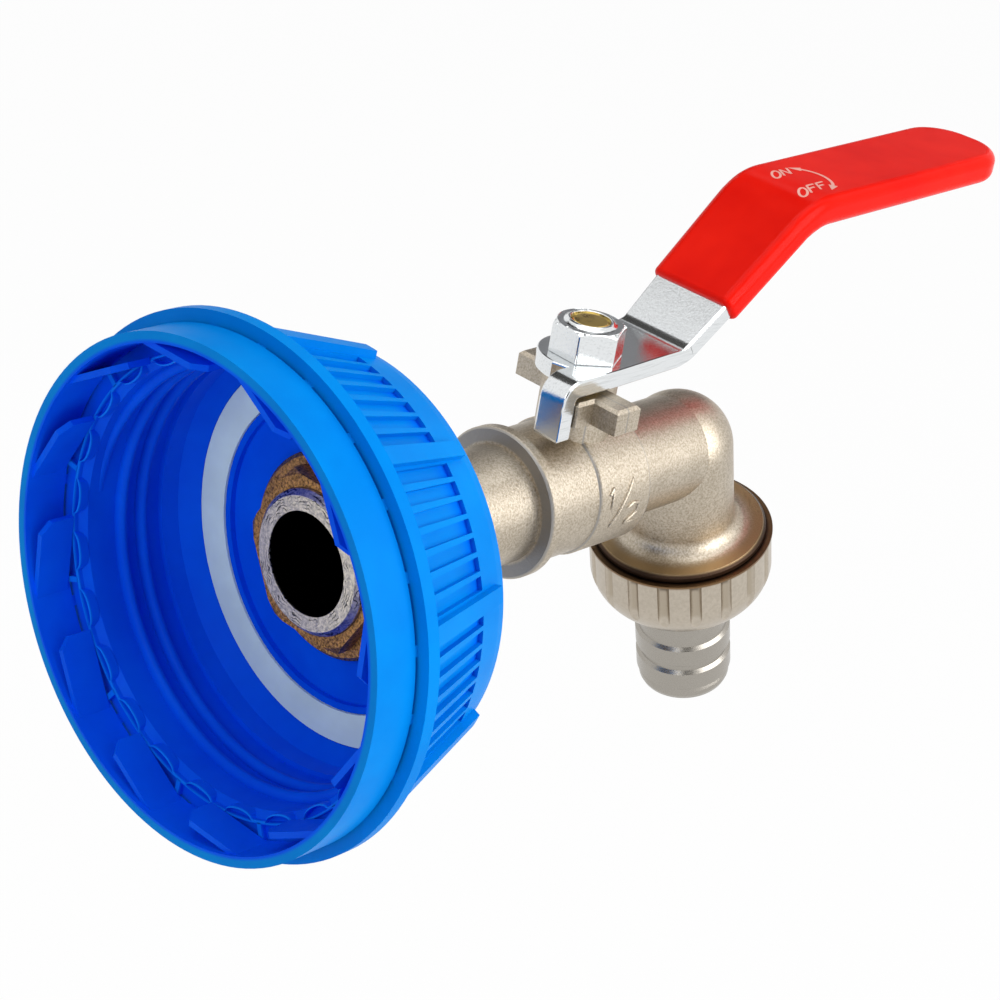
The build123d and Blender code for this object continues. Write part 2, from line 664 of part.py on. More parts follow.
def hose_tail():
    """Flanged tail with two barbs and a rounded end."""
    points = [(tail_bore_r, gasket_end_at), (tail_flange_r, gasket_end_at), (tail_flange_r, tail_flange_end_at),
              (tail_neck_r, tail_flange_end_at), (tail_neck_r, union_end_at + 1.0)]
    for barb in range(2):
        start = first_barb_at + barb * barb_pitch
        points += [(tail_root_r, start - barb_flank), (barb_r, start), (barb_r, start + barb_land),
                   (tail_root_r, start + barb_land + barb_flank)]
    points += [(tail_end_r, last_land_end_at + 2 * barb_flank), (tail_end_r, tail_end_at - tail_end_round),
               (tail_end_r - tail_end_round * 0.3, tail_end_at - tail_end_round * 0.3),
               (tail_end_r - tail_end_round, tail_end_at), (tail_bore_r, tail_end_at)]
    return outlet_axis * turned(points)


def write(name, solid):
    """One STEP file per named piece."""
    solid.label = name
    export_step(solid, f"parts/{name}.step")


def main():
    os.makedirs("parts", exist_ok=True)
    for make in (screw_cap, cap_seal, lock_nut, cap_washer, back_nut, inlet_pipe, body_seal, valve_body, ball,
                 stem, thrust_washer, gland_nut, lever, lever_sleeve, lever_nut, hose_gasket, union_nut,
                 hose_tail):
        write(make.__name__, make())
    write("inlet_seat", seat(-1))
    write("outlet_seat", seat(1))
    for index, name in enumerate(("lower_packing", "upper_packing")):
        write(name, packing(index))


main()
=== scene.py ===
"""Jerry can tap: threads, lettering, finishes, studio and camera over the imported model."""

import json
import math

import bpy
import numpy as np
from bpy.props import FloatProperty, FloatVectorProperty, IntProperty, PointerProperty
from mathutils import Matrix, Vector


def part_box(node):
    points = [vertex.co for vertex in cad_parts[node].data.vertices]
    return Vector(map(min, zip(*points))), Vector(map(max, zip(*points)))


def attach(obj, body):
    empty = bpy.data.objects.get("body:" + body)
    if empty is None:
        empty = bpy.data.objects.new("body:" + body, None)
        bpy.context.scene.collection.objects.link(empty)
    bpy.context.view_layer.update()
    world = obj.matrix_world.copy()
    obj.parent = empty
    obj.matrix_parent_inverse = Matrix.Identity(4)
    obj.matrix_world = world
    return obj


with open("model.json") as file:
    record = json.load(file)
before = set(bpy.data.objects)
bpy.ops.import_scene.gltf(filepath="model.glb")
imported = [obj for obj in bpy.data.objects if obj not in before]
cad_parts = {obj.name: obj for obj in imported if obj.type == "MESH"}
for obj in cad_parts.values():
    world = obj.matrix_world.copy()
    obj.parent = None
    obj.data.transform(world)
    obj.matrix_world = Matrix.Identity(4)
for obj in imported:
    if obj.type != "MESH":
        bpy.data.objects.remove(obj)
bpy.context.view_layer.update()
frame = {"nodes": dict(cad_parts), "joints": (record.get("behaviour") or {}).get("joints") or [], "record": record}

bl_info = {
    "name": "Jerry Can Tap",
    "version": (1, 0, 0),
    "blender": (4, 5, 0),
    "location": "View3D > Sidebar > Tap",
    "description": "Threads, lettering, finishes and studio for a canister tap",
    "category": "Object",
}

MM = 0.001
ORIGIN = Vector((0.0, 0.0, 0.0))
X_AXIS = Vector((1.0, 0.0, 0.0))

# Places read from the frame, in metres
STEM_X = float(sum(corner.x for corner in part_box("stem"))) / 2
JOINTS = {joint["name"]: joint for joint in frame["joints"]}
OUTLET_START = Vector(JOINTS["nut_turn"]["pos_m"])
OUTLET_DIRECTION = Vector(JOINTS["nut_turn"]["axis"]).normalized()

# Camera found from the photograph: place and target in metres, focal length and centre in pixels
IMAGE_PIXELS = 1000.0
CAMERA_TARGET = (0.04982, 0.0, 0.01146)
CAMERA_DISTANCE = 0.3649
CAMERA_AZIMUTH_DEG = 39.98
CAMERA_ELEVATION_DEG = 24.33
CAMERA_ROLL_DEG = 9.70
CAMERA_FOCAL_PIXELS = 2514.5
CAMERA_CENTRE_PIXELS = (501.9, 434.8)
SENSOR_MM = 36.0


def colour_property(name, description, default):
    """A colour that a user may change, with alpha 1."""
    return FloatVectorProperty(name=name, description=description, subtype="COLOR", size=4, min=0.0, max=1.0,
                               default=(*default, 1.0))


def length_property(name, description, default_mm):
    """A length in metres with its default given in millimetres."""
    return FloatProperty(name=name, description=description, unit="LENGTH", default=default_mm * MM)


class TapColours(bpy.types.PropertyGroup):
    """Colours of the finishes."""

    cap: colour_property("Cap", "Moulded blue of the screw cap", (0.0, 0.25, 0.77))
    cap_deep: colour_property("Cap, deep", "Darker blue of the moulding's mottle", (0.0, 0.215, 0.72))
    # Painted shade: both colours inside the cap are a deeper blue than outside, though the moulding has one colour
    cap_inside_shade: colour_property("Cap, inside", "Deeper blue inside the cap", (0.001, 0.115, 0.95))
    cap_inside_shade_deep: colour_property("Cap, inside deep", "Darker mottle inside the cap", (0.001, 0.092, 0.88))
    # Painted highlight: the lip's thin edges are a lighter blue
    cap_edge_highlight: colour_property("Cap, thin edge", "Lighter blue of the thin lip", (0.003, 0.20, 0.98))
    seal: colour_property("Seal", "White of the sealing ring", (0.78, 1.0, 0.95))
    cast_brass: colour_property("Cast brass", "Dull brown of the lock nut", (0.62, 0.34, 0.12))
    cast_brass_dark: colour_property("Cast brass, dark", "Pits of the cast nut", (0.13, 0.07, 0.03))
    nickel: colour_property("Nickel", "Plated sand-cast skin", (0.57, 0.505, 0.415))
    nickel_dark: colour_property("Nickel, dark", "Low grains of the cast skin", (0.37, 0.315, 0.24))
    tarnish: colour_property("Tarnish", "Brown film on the outlet disc", (0.41, 0.285, 0.15))
    rim: colour_property("Rim", "Brown edge of the union nut", (0.20, 0.12, 0.06))
    # Painted shade at joints: the disc's edge, the groove beside it and the pipe's seam
    joint_shade: colour_property("Grime", "Dark film beside the union and in the pipe's seam", (0.05, 0.03, 0.02))
    satin: colour_property("Satin nickel", "Hose tail", (0.39, 0.365, 0.325))
    satin_dark: colour_property("Satin nickel, dark", "Mottle of the hose tail", (0.36, 0.335, 0.298))
    union: colour_property("Union nut", "Nickel of the union nut", (0.53, 0.47, 0.39))
    union_dark: colour_property("Union nut, dark", "Mottle of the union nut", (0.465, 0.41, 0.335))
    # The flutes' hollows carry a brown film and painted shade
    flute_film_and_shade: colour_property("Flute", "Brown film in the hollows of the union nut", (0.42, 0.36, 0.28))
    steel: colour_property("Plated steel", "Lever plate and nut", (0.78, 0.80, 0.81))
    steel_dark: colour_property("Plated steel, dark", "Fine scratches of the plate", (0.68, 0.70, 0.71))
    cut_steel: colour_property("Turned end", "Scored end of the pipe", (0.76, 0.70, 0.58))
    smudge: colour_property("Smudge", "Dark marks on the turned end", (0.05, 0.05, 0.05))
    # Real low marks on the pipe's end; painted shade on the collar's front and in the seam lines at the body's
    # joints and steps
    shade: colour_property("Dull metal", "Collar's front, low marks of the pipe's end and dirt in the seams",
                           (0.32, 0.305, 0.285))
    # Painted shade: the inside of the pipe is painted nearly black
    bore_shade: colour_property("Bore", "Dark inside of the pipe", (0.004, 0.004, 0.004))
    brass: colour_property("Brass", "Stem and gland", (0.66, 0.46, 0.12))
    brass_dark: colour_property("Brass, dark", "Turning marks of the stem", (0.30, 0.18, 0.04))
    sleeve: colour_property("Sleeve", "Dipped red of the lever", (0.88, 0.012, 0.004))
    sleeve_deep: colour_property("Sleeve, deep", "Darker red of the dip", (0.76, 0.006, 0.002))
    print_white: colour_property("Print", "Lettering on the sleeve", (0.95, 0.47, 0.40))
    soft_white: colour_property("Soft white", "Seats and packing", (0.85, 0.85, 0.82))
    rubber: colour_property("Rubber", "Washers", (0.025, 0.025, 0.025))
    floor: colour_property("Floor", "Studio floor", (0.92, 0.92, 0.92))
    card: colour_property("Card", "Dark cards that the metal reflects", (0.03, 0.028, 0.025))
    grey_card: colour_property("Grey card", "Grey card that the lever reflects", (0.27, 0.27, 0.28))


class TapSizes(bpy.types.PropertyGroup):
    """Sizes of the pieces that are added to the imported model."""

    cap_wall_radius: length_property("Cap wall radius", "Bare wall that carries the cap thread", 30.9)
    cap_thread_start: length_property("Cap thread start", "Where the cap thread starts", 2.2)
    cap_thread_height: length_property("Cap thread height", "Height of the cap thread", 1.35)
    cap_thread_pitch: length_property("Cap thread pitch", "Advance of the cap thread in one turn", 3.6)
    cap_thread_turns: FloatProperty(name="Cap thread turns", description="Turns of the cap thread",
                                    default=2.4)
    lip_outer_radius: length_property("Lip outer radius", "Outside of the lip", 32.35)
    lip_inner_radius: length_property("Lip inner radius", "Inner edge of the lip at a pocket", 30.75)
    lip_pocket_bulge: length_property("Pocket bulge", "How far a pocket bulges inwards", 1.15)
    lip_height: length_property("Lip height", "How far the lip stands out of the cap mouth", 1.75)
    lip_pockets: IntProperty(name="Pockets", description="Half-moon pockets round the lip", default=24)
    lip_posts: IntProperty(name="Posts", description="Posts between the lip and the tamper ring", default=12)
    housing_radius: length_property("Housing radius", "Middle section of the valve body", 10.7)
    mark_radius: length_property("Mark radius", "Half width of the raised size mark", 0.3)
    edge_round: length_property("Edge round", "Rounding of the lever's edges", 0.38)
    nut_edge_round: length_property("Nut edge round", "Rounding of the lever nut's edges", 0.2)
    print_width: length_property("Print width", "Stroke width of the lettering", 0.40)
    print_lift: length_property("Print lift", "Height of the print over the sleeve", 0.03)


class TapStudio(bpy.types.PropertyGroup):
    """Light levels of the studio."""

    world_strength: FloatProperty(name="World", description="Strength of the even light", default=0.30)
    key_power: FloatProperty(name="Key", description="Power of the key lamp in watts", default=9.0)
    fill_power: FloatProperty(name="Fill", description="Power of the fill lamp in watts", default=2.4)
    top_power: FloatProperty(name="Top", description="Power of the top lamp in watts", default=3.2)
    floor_depth: length_property("Floor depth", "Floor below the origin", 200.0)


def settings():
    """The three groups of values of the current scene."""
    scene = bpy.context.scene
    return scene.tap_colours, scene.tap_sizes, scene.tap_studio


# Surfaces


def grid_faces(rows, columns, close_rows=False, close_columns=False):
    """Quads of a rows by columns grid of points; a closed direction joins its last line to its first."""
    row = np.arange(rows if close_rows else rows - 1)
    column = np.arange(columns if close_columns else columns - 1)
    low_row, low_column = np.meshgrid(row, column, indexing="ij")
    next_row = (low_row + 1) % rows
    next_column = (low_column + 1) % columns
    corners = [low_row * columns + low_column, next_row * columns + low_column,
               next_row * columns + next_column, low_row * columns + next_column]
    return np.stack([corner.ravel() for corner in corners], axis=1)


def add_piece(name, points, faces, body, material, smooth=True):
    """Mesh object from points and faces in metres, riding on a CAD body."""
    mesh = bpy.data.meshes.new(name)
    mesh.from_pydata(np.asarray(points, float).reshape(-1, 3).tolist(), [], np.asarray(faces).tolist())
    mesh.polygons.foreach_set("use_smooth", np.full(len(mesh.polygons), smooth))
    mesh.update()
    piece = bpy.data.objects.new(name, mesh)
    bpy.context.scene.collection.objects.link(piece)
    piece.data.materials.append(material)
    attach(piece, body)


def add_grid(name, points, body, material, close_rows=False, close_columns=False, smooth=True):
    """Piece from a grid of points."""
    faces = grid_faces(points.shape[0], points.shape[1], close_rows, close_columns)
    add_piece(name, points, faces, body, material, smooth)


def inner_thread(radius, height, pitch, turns, start_x, steps_per_turn=120):
    """Ridge on the inside of a round wall about X: a closed trapezoid carried along a right-hand helix.

    At angle a the section stands at x = start + pitch * a / turn, and its crest sinks into the wall over
    the first and last tenth of a turn. Each corner of the section has its place along X as a share of the
    pitch and its depth as a share of the height; a depth below 0 lies in the wall.
    """
    steps = int(steps_per_turn * turns) + 1
    angle = np.linspace(0.0, 2 * math.pi * turns, steps)
    fade_turn = 0.1 * 2 * math.pi
    rise = np.clip(np.minimum(angle, angle[-1] - angle) / fade_turn, 0.0, 1.0)
    along = np.array([-0.06, 0.20, 0.05, -0.14, -0.32]) * pitch
    share = np.array([-0.30, -0.25, 1.0, 0.85, -0.25])
    x = start_x + pitch * angle[:, None] / (2 * math.pi) + along[None, :]
    depth = np.where(share > 0, share * rise[:, None], share) * height
    r = radius - depth
    return np.stack([x, r * np.cos(angle)[:, None], r * np.sin(angle)[:, None]], axis=2)


# Lip of the cap: the widest rims, the pocket's depth, the rounding and the back, in metres
LIP_OUTER_RIM = 0.30 * MM
LIP_INNER_RIM = 0.20 * MM
LIP_POCKET_DEPTH = 1.2 * MM
LIP_ROUND = 0.1 * MM
LIP_BACK = -0.2 * MM

# Shares of the lip: rims of its thickness, draft of a pocket's width, pocket of the pitch, floor's slope
LIP_OUTER_SHARE = 0.45
LIP_INNER_SHARE = 0.35
LIP_DRAFT_SHARE = 0.12
LIP_POCKET_SHARE = 0.64
LIP_FLOOR_SLOPE = 2.2
LIP_FIRST_DEG = -0.5

# Posts between the lip and the tamper ring: reach, width, back and overlap in metres, and the first place
POST_OUTER_RADIUS = 34.75 * MM
POST_WIDTH = 0.8 * MM
POST_BACK = -0.8 * MM
POST_OVERLAP = 0.2 * MM
POST_FIRST_DEG = 7.0


def pocketed_lip(outer_r, inner_r, bulge_depth, count, front_x, back_x, steps=960):
    """Thin lip about X with half-moon pockets on its inner side.

    Across a pocket u runs from -1 to 1 and the bulge is b = sqrt(1 - u * u). The inner edge is
    r = inner + bulge depth * (1 - b), and the pocket's floor sinks behind the front as b grows.
    """
    angle = np.linspace(0.0, 2 * math.pi, steps, endpoint=False)
    pitch = 2 * math.pi / count
    first = math.radians(LIP_FIRST_DEG)
    across = ((angle - first + pitch / 2) % pitch - pitch / 2) / (LIP_POCKET_SHARE * pitch / 2)
    bulge = np.sqrt(np.maximum(1.0 - across**2, 0.0))
    edge = inner_r + bulge_depth * (1.0 - bulge)
    thick = outer_r - edge
    outer_rim = outer_r - np.minimum(LIP_OUTER_RIM, LIP_OUTER_SHARE * thick)
    inner_rim = edge + np.minimum(LIP_INNER_RIM, LIP_INNER_SHARE * thick)
    draft = LIP_DRAFT_SHARE * (outer_rim - inner_rim)
    floor_x = front_x + LIP_POCKET_DEPTH * np.minimum(LIP_FLOOR_SLOPE * bulge, 1.0)
    ring = np.ones_like(angle)
    section = [(front_x + LIP_ROUND, outer_r), (front_x, outer_r - LIP_ROUND), (front_x, outer_rim),
               (floor_x, outer_rim - draft), (floor_x, inner_rim + draft), (front_x, inner_rim),
               (front_x + LIP_ROUND, edge), (back_x, edge), (back_x, outer_r)]
    rows = [np.stack([x * ring, r * np.cos(angle), r * np.sin(angle)], axis=1) for x, r in section]
    return np.stack(rows, axis=0)


def radial_posts(inner_r, outer_r, width, front_x, back_x, count, first_deg):
    """Small blocks about X: one block of eight points at angle 0, turned by equal steps."""
    side = np.array([-width / 2, width / 2])
    x, r, across = np.meshgrid(np.array([front_x, back_x]), np.array([inner_r, outer_r]), side, indexing="ij")
    block = np.stack([x, r, across], axis=3).reshape(8, 3)
    turn = np.radians(first_deg) + 2 * math.pi * np.arange(count)[:, None] / count
    y = block[None, :, 1] * np.cos(turn) - block[None, :, 2] * np.sin(turn)
    z = block[None, :, 1] * np.sin(turn) + block[None, :, 2] * np.cos(turn)
    points = np.stack([np.broadcast_to(block[None, :, 0], y.shape), y, z], axis=2)
    corners = np.array([[0, 1, 3, 2], [4, 6, 7, 5], [0, 4, 5, 1], [2, 3, 7, 6], [0, 2, 6, 4], [1, 5, 7, 3]])
    faces = corners[None, :, :] + 8 * np.arange(count)[:, None, None]
    return points, faces.reshape(-1, 4)


# Lever's middle line in side view, in metres: fold, crest, end, bend of the crest and half the sleeve
LEVER_FOLD = (81.6 * MM, 20.1 * MM)
LEVER_CREST = (106.0 * MM, 39.9 * MM)
LEVER_END = (157.9 * MM, 41.0 * MM)
CREST_BEND = 12.0 * MM
SLEEVE_HALF = 2.5 * MM

# Print on the sleeve, in millimetres in plan: words with their left and base, then the letters' form
PRINT_WORDS = (("ON", 107.2, 1.9), ("OFF", 105.5, -4.9))
LETTER_WIDTH = 1.75
LETTER_HEIGHT = 2.15
LETTER_GAP = 0.6
LETTER_SHEAR = 0.62
LETTER_STEPS = 14
ROUND_LETTER_STEPS = 40

# Printed arrow, in millimetres in plan: centre, half axes, turn in degrees, width against the letters, heads
ARROW_CENTRE = (109.2, -0.6)
ARROW_HALF_AXES = (6.4, 5.6)
ARROW_TURN_DEG = (49, -62)
ARROW_STEPS = 30
ARROW_WIDTH_SHARE = 1.3
HEAD_STEPS = 4
HEAD_REACH = 0.35
HEAD_WIDTHS = (1.5, 0.05)

# Raised size mark: lines of x in millimetres and of the angle about X in degrees
MARK_LINES = {
    "mark_one": ([64.4, 65.4, 65.0], [167.0, 161.0, 180.0]),
    "mark_stroke": ([70.0, 67.7, 65.5], [156.7, 176.0, 197.6]),
    "mark_two": ([68.7, 70.0, 71.5, 71.2, 69.0, 71.9], [182.6, 178.5, 180.3, 187.7, 197.2, 197.4]),
}
MARK_TAPER = 14
MARK_TIP = 0.15


def sleeve_crown(x):
    """Height of the sleeve's upper face at x, in metres: slope, circle about the bend's centre, then grip.

    The bend's centre lies one bend radius under both middle lines, and the upper face half a thickness
    over them.
    """
    slope = math.atan2(LEVER_CREST[1] - LEVER_FOLD[1], LEVER_CREST[0] - LEVER_FOLD[0])
    grip = math.atan2(LEVER_END[1] - LEVER_CREST[1], LEVER_END[0] - LEVER_CREST[0])
    tangent = CREST_BEND * math.tan((slope - grip) / 2)
    centre_x = LEVER_CREST[0] - tangent * math.cos(slope) + CREST_BEND * math.sin(slope)
    centre_z = LEVER_CREST[1] - tangent * math.sin(slope) - CREST_BEND * math.cos(slope)
    radius = CREST_BEND + SLEEVE_HALF
    slope_end = centre_x - radius * math.sin(slope)
    grip_start = centre_x - radius * math.sin(grip)
    on_slope = centre_z + radius * math.cos(slope) + (x - slope_end) * math.tan(slope)
    on_bend = centre_z + np.sqrt(np.maximum(radius**2 - (x - centre_x) ** 2, 0.0))
    on_grip = centre_z + radius * math.cos(grip) + (x - grip_start) * math.tan(grip)
    return np.where(x < slope_end, on_slope, np.where(x < grip_start, on_bend, on_grip))


def stroke_strip(points, width, samples=LETTER_STEPS):
    """Flat strip along a plan line, resampled evenly and widened to both sides across its direction."""
    points = np.asarray(points, float)
    lengths = np.concatenate([[0.0], np.cumsum(np.hypot(*np.diff(points, axis=0).T))])
    even = np.linspace(0.0, lengths[-1], samples)
    line = np.stack([np.interp(even, lengths, points[:, axis]) for axis in (0, 1)], axis=1)
    direction = np.gradient(line, axis=0)
    direction /= np.linalg.norm(direction, axis=1)[:, None]
    across = np.stack([-direction[:, 1], direction[:, 0]], axis=1)
    half = np.asarray(width, float).reshape(-1, 1) / 2
    return np.stack([line - across * half, line + across * half], axis=1)


def ring_points(centre, half_width, half_height, shear, steps=33):
    """Sheared ellipse for the letter O: x = half width * cos t + shear * y and y = half height * sin t."""
    turn = np.linspace(0.0, 2 * math.pi, steps)
    up = half_height * np.sin(turn)
    return np.stack([centre[0] + half_width * np.cos(turn) + shear * up, centre[1] + up], axis=1)


def letter_lines(letter, left, base, width, height, shear):
    """Plan lines of one slanted capital letter."""
    strokes = {
        "N": [[(0, 0), (0, 1)], [(0, 1), (1, 0)], [(1, 0), (1, 1)]],
        "F": [[(0, 0), (0, 1)], [(0, 1), (1, 1)], [(0, 0.55), (0.8, 0.55)]],
    }
    if letter == "O":
        centre = (left + width / 2 + shear * height / 2, base + height / 2)
        return [ring_points(centre, width / 2, height / 2, shear)]
    return [[(left + u * width + shear * v * height, base + v * height) for u, v in line]
            for line in strokes[letter]]


def mark_tube(x, angle_deg, housing_r, tube_r, samples=28, sides=10):
    """Raised half-round bead on the housing: a circle carried along a line of x and the angle about X."""
    x = np.asarray(x, float)
    turn = np.radians(np.asarray(angle_deg, float))
    key = np.linspace(0.0, 1.0, len(x))
    even = np.linspace(0.0, 1.0, samples)
    line_x = np.interp(even, key, x)
    line_turn = np.interp(even, key, turn)
    along = np.stack([np.gradient(line_x), housing_r * np.gradient(line_turn)], axis=1)
    along /= np.linalg.norm(along, axis=1)[:, None]
    across = np.stack([-along[:, 1], along[:, 0]], axis=1)
    around = np.linspace(0.0, 2 * math.pi, sides, endpoint=False)
    size = tube_r * np.clip(np.minimum(even, 1 - even) * MARK_TAPER + MARK_TIP, 0.0, 1.0)
    side = size[:, None] * np.cos(around)[None, :]
    lift = size[:, None] * np.sin(around)[None, :]
    px = line_x[:, None] + side * across[:, 0:1]
    pturn = line_turn[:, None] + side * across[:, 1:2] / housing_r
    radius = housing_r + lift
    return np.stack([px, radius * np.cos(pturn), radius * np.sin(pturn)], axis=2)


# Finishes


def socket(node, name, value):
    """Sets a constant on a named input."""
    node.inputs[name].default_value = value


class FinishTree:
    """A material's node tree with the few nodes that every finish here starts from."""

    def __init__(self, name):
        existing = bpy.data.materials.get(name)
        self.material = existing or bpy.data.materials.new(name)
        self.material.use_nodes = True
        self.nodes = self.material.node_tree.nodes
        self.links = self.material.node_tree.links
        self.nodes.clear()
        self.output = self.nodes.new("ShaderNodeOutputMaterial")
        self.bsdf = self.nodes.new("ShaderNodeBsdfPrincipled")
        self.links.new(self.bsdf.outputs["BSDF"], self.output.inputs["Surface"])
        self.place = self.nodes.new("ShaderNodeTexCoord")

    def noise(self, scale, detail=3.0, roughness=0.55, stretch=(1.0, 1.0, 1.0)):
        """Noise on the piece's own coordinates, optionally stretched along an axis."""
        mapping = self.nodes.new("ShaderNodeMapping")
        socket(mapping, "Scale", stretch)
        texture = self.nodes.new("ShaderNodeTexNoise")
        socket(texture, "Scale", scale)
        socket(texture, "Detail", detail)
        socket(texture, "Roughness", roughness)
        self.links.new(self.place.outputs["Object"], mapping.inputs["Vector"])
        self.links.new(mapping.outputs["Vector"], texture.inputs["Vector"])
        return texture.outputs["Fac"]

    def rings(self, spacing, waver):
        """Uneven rings round X, a spacing apart, on the piece's own coordinates."""
        texture = self.nodes.new("ShaderNodeTexWave")
        texture.wave_type = "RINGS"
        texture.rings_direction = "X"
        socket(texture, "Scale", 2 * math.pi / (WAVE_RADIANS * spacing))
        socket(texture, "Distortion", waver)
        socket(texture, "Detail", 3.0)
        self.links.new(self.place.outputs["Object"], texture.inputs["Vector"])
        return texture.outputs["Fac"]

    def ramp(self, factor, low, high, start=0.35, end=0.65):
        """Two colours by a factor."""
        ramp = self.nodes.new("ShaderNodeValToRGB")
        ramp.color_ramp.elements[0].position = start
        ramp.color_ramp.elements[0].color = low
        ramp.color_ramp.elements[1].position = end
        ramp.color_ramp.elements[1].color = high
        self.links.new(factor, ramp.inputs["Fac"])
        return ramp.outputs["Color"]

    def span(self, factor, low, high):
        """A number between low and high by a factor from 0 to 1."""
        node = self.nodes.new("ShaderNodeMapRange")
        socket(node, "To Min", low)
        socket(node, "To Max", high)
        self.links.new(factor, node.inputs["Value"])
        return node.outputs["Result"]

    def bump(self, height, strength, distance):
        """Small relief from a height."""
        node = self.nodes.new("ShaderNodeBump")
        socket(node, "Strength", strength)
        socket(node, "Distance", distance)
        self.links.new(height, node.inputs["Height"])
        self.links.new(node.outputs["Normal"], self.bsdf.inputs["Normal"])

    def wire(self, output, name):
        """Connects an output to an input of the surface shader."""
        self.links.new(output, self.bsdf.inputs[name])

    def vector_step(self, operation, first, second):
        """One vector step between an output and a constant."""
        node = self.nodes.new("ShaderNodeVectorMath")
        node.operation = operation
        self.links.new(first, node.inputs[0])
        node.inputs[1].default_value = second
        return node

    def along(self, start, direction):
        """Distance of a point along an axis, in metres."""
        offset = self.vector_step("SUBTRACT", self.place.outputs["Object"], start)
        return self.vector_step("DOT_PRODUCT", offset.outputs["Vector"], direction).outputs["Value"]

    def away(self, start, direction):
        """Distance of a point from an axis, in metres: the length of its cross product with the direction."""
        offset = self.vector_step("SUBTRACT", self.place.outputs["Object"], start)
        cross = self.vector_step("CROSS_PRODUCT", offset.outputs["Vector"], direction)
        length = self.nodes.new("ShaderNodeVectorMath")
        length.operation = "LENGTH"
        self.links.new(cross.outputs["Vector"], length.inputs[0])
        return length.outputs["Value"]

    def edge(self, value, low, high):
        """0 where the value is at low, 1 where it is at high, smooth between."""
        node = self.nodes.new("ShaderNodeMapRange")
        node.interpolation_type = "SMOOTHSTEP"
        socket(node, "From Min", low)
        socket(node, "From Max", high)
        self.links.new(value, node.inputs["Value"])
        return node.outputs["Result"]

    def band(self, value, middle, half):
        """1 at the middle value, 0 from half a width away on both sides."""
        return self.both(self.edge(value, middle - half, middle), self.edge(value, middle + half, middle))

    def both(self, first, second, operation="MULTIPLY"):
        """Two factors joined by one arithmetic step."""
        node = self.nodes.new("ShaderNodeMath")
        node.operation = operation
        self.links.new(first, node.inputs[0])
        self.links.new(second, node.inputs[1])
        return node.outputs[0]

    def blend(self, factor, below, above):
        """Colour above laid over colour below where the factor is 1."""
        node = self.nodes.new("ShaderNodeMix")
        node.data_type = "RGBA"
        self.links.new(factor, node.inputs[0])
        self.links.new(below, node.inputs[6])
        if isinstance(above, bpy.types.NodeSocket):
            self.links.new(above, node.inputs[7])
        else:
            node.inputs[7].default_value = above
        return node.outputs[2]


# Where the finishes change, in metres: each pair is where a film, a painted shade or a painted highlight starts
# and where it is full
# Painted highlight along the lip's thin front edges
LIP_HIGHLIGHT_EDGE = (0.4 * MM, 0.12 * MM)
# Painted shade inside the cap: its radius, cone and end
INSIDE_RADIUS = (35.3 * MM, 34.7 * MM)
INSIDE_CONE = (35.2 * MM, 34.6 * MM)
INSIDE_END = (20.6 * MM, 20.0 * MM)
DISC_DOWN = (14.5 * MM, 15.7 * MM)
DISC_WIDE = (10.3 * MM, 12.5 * MM)
# Painted shade at the disc's edge
DISC_EDGE_DOWN = (15.0 * MM, 15.5 * MM)
DISC_EDGE_WIDE = (13.3 * MM, 13.8 * MM)
# Brown film and painted shade in the flutes' hollows
FLUTE_WIDE = (14.8 * MM, 14.2 * MM)
FLUTE_DOWN = (24.6 * MM, 23.6 * MM)
RIM_DOWN = (17.9 * MM, 17.2 * MM)
# Painted shade in the groove beside the disc
GROOVE_WIDE = (14.6 * MM, 14.1 * MM)
GROOVE_DOWN = (19.0 * MM, 18.0 * MM)
# Painted shade on the collar's front face
COLLAR_FRONT = (50.5 * MM, 50.8 * MM)
COLLAR_BACK = (51.3 * MM, 51.0 * MM)
COLLAR_WIDE = (9.2 * MM, 9.6 * MM)
PIPE_END = (15.2 * MM, 14.4 * MM)
# Painted shade inside the pipe: its radius and start
BORE_WIDE = (7.8 * MM, 7.6 * MM)
BORE_START = (13.3 * MM, 13.7 * MM)

# Seam lines of painted shade by their middle and half width along X, rings of the pipe's end, slope of the cap's
# inner cone
BODY_SEAM_SHADE = ((53.5 * MM, 0.4 * MM), (62.6 * MM, 0.2 * MM), (73.7 * MM, 0.3 * MM))
PIPE_SEAM_SHADE = (53.1 * MM, 0.3 * MM)
SCORE_SPACING = 0.5 * MM
INSIDE_SLOPE = 0.25

# Roughness, grain and relief of the cast nickel, and the grain of the blue's mottle
NICKEL_SKIN = (0.37, 3000.0, 0.22)
BLUE_MOTTLE = 90.0

# Radians that a wave texture turns through for each unit of its scale
WAVE_RADIANS = 20.0


def lip_blue(colours, front_x):
    """Thin moulded lip: a painted highlight of lighter blue along its thin front edges, and the painted shade of
    the cap's inside behind them.
    """
    tree = FinishTree("thin blue")
    # Painted shade: the lip is given the cap's deeper inside blue
    deeper = tree.ramp(tree.noise(BLUE_MOTTLE), colours.cap_inside_shade_deep, colours.cap_inside_shade)
    # Painted highlight: lighter blue along the thin front edges
    thin = tree.edge(tree.along(front_x * X_AXIS, X_AXIS), *LIP_HIGHLIGHT_EDGE)
    tree.wire(tree.blend(thin, deeper, colours.cap_edge_highlight), "Base Color")
    return blue_skin(tree)


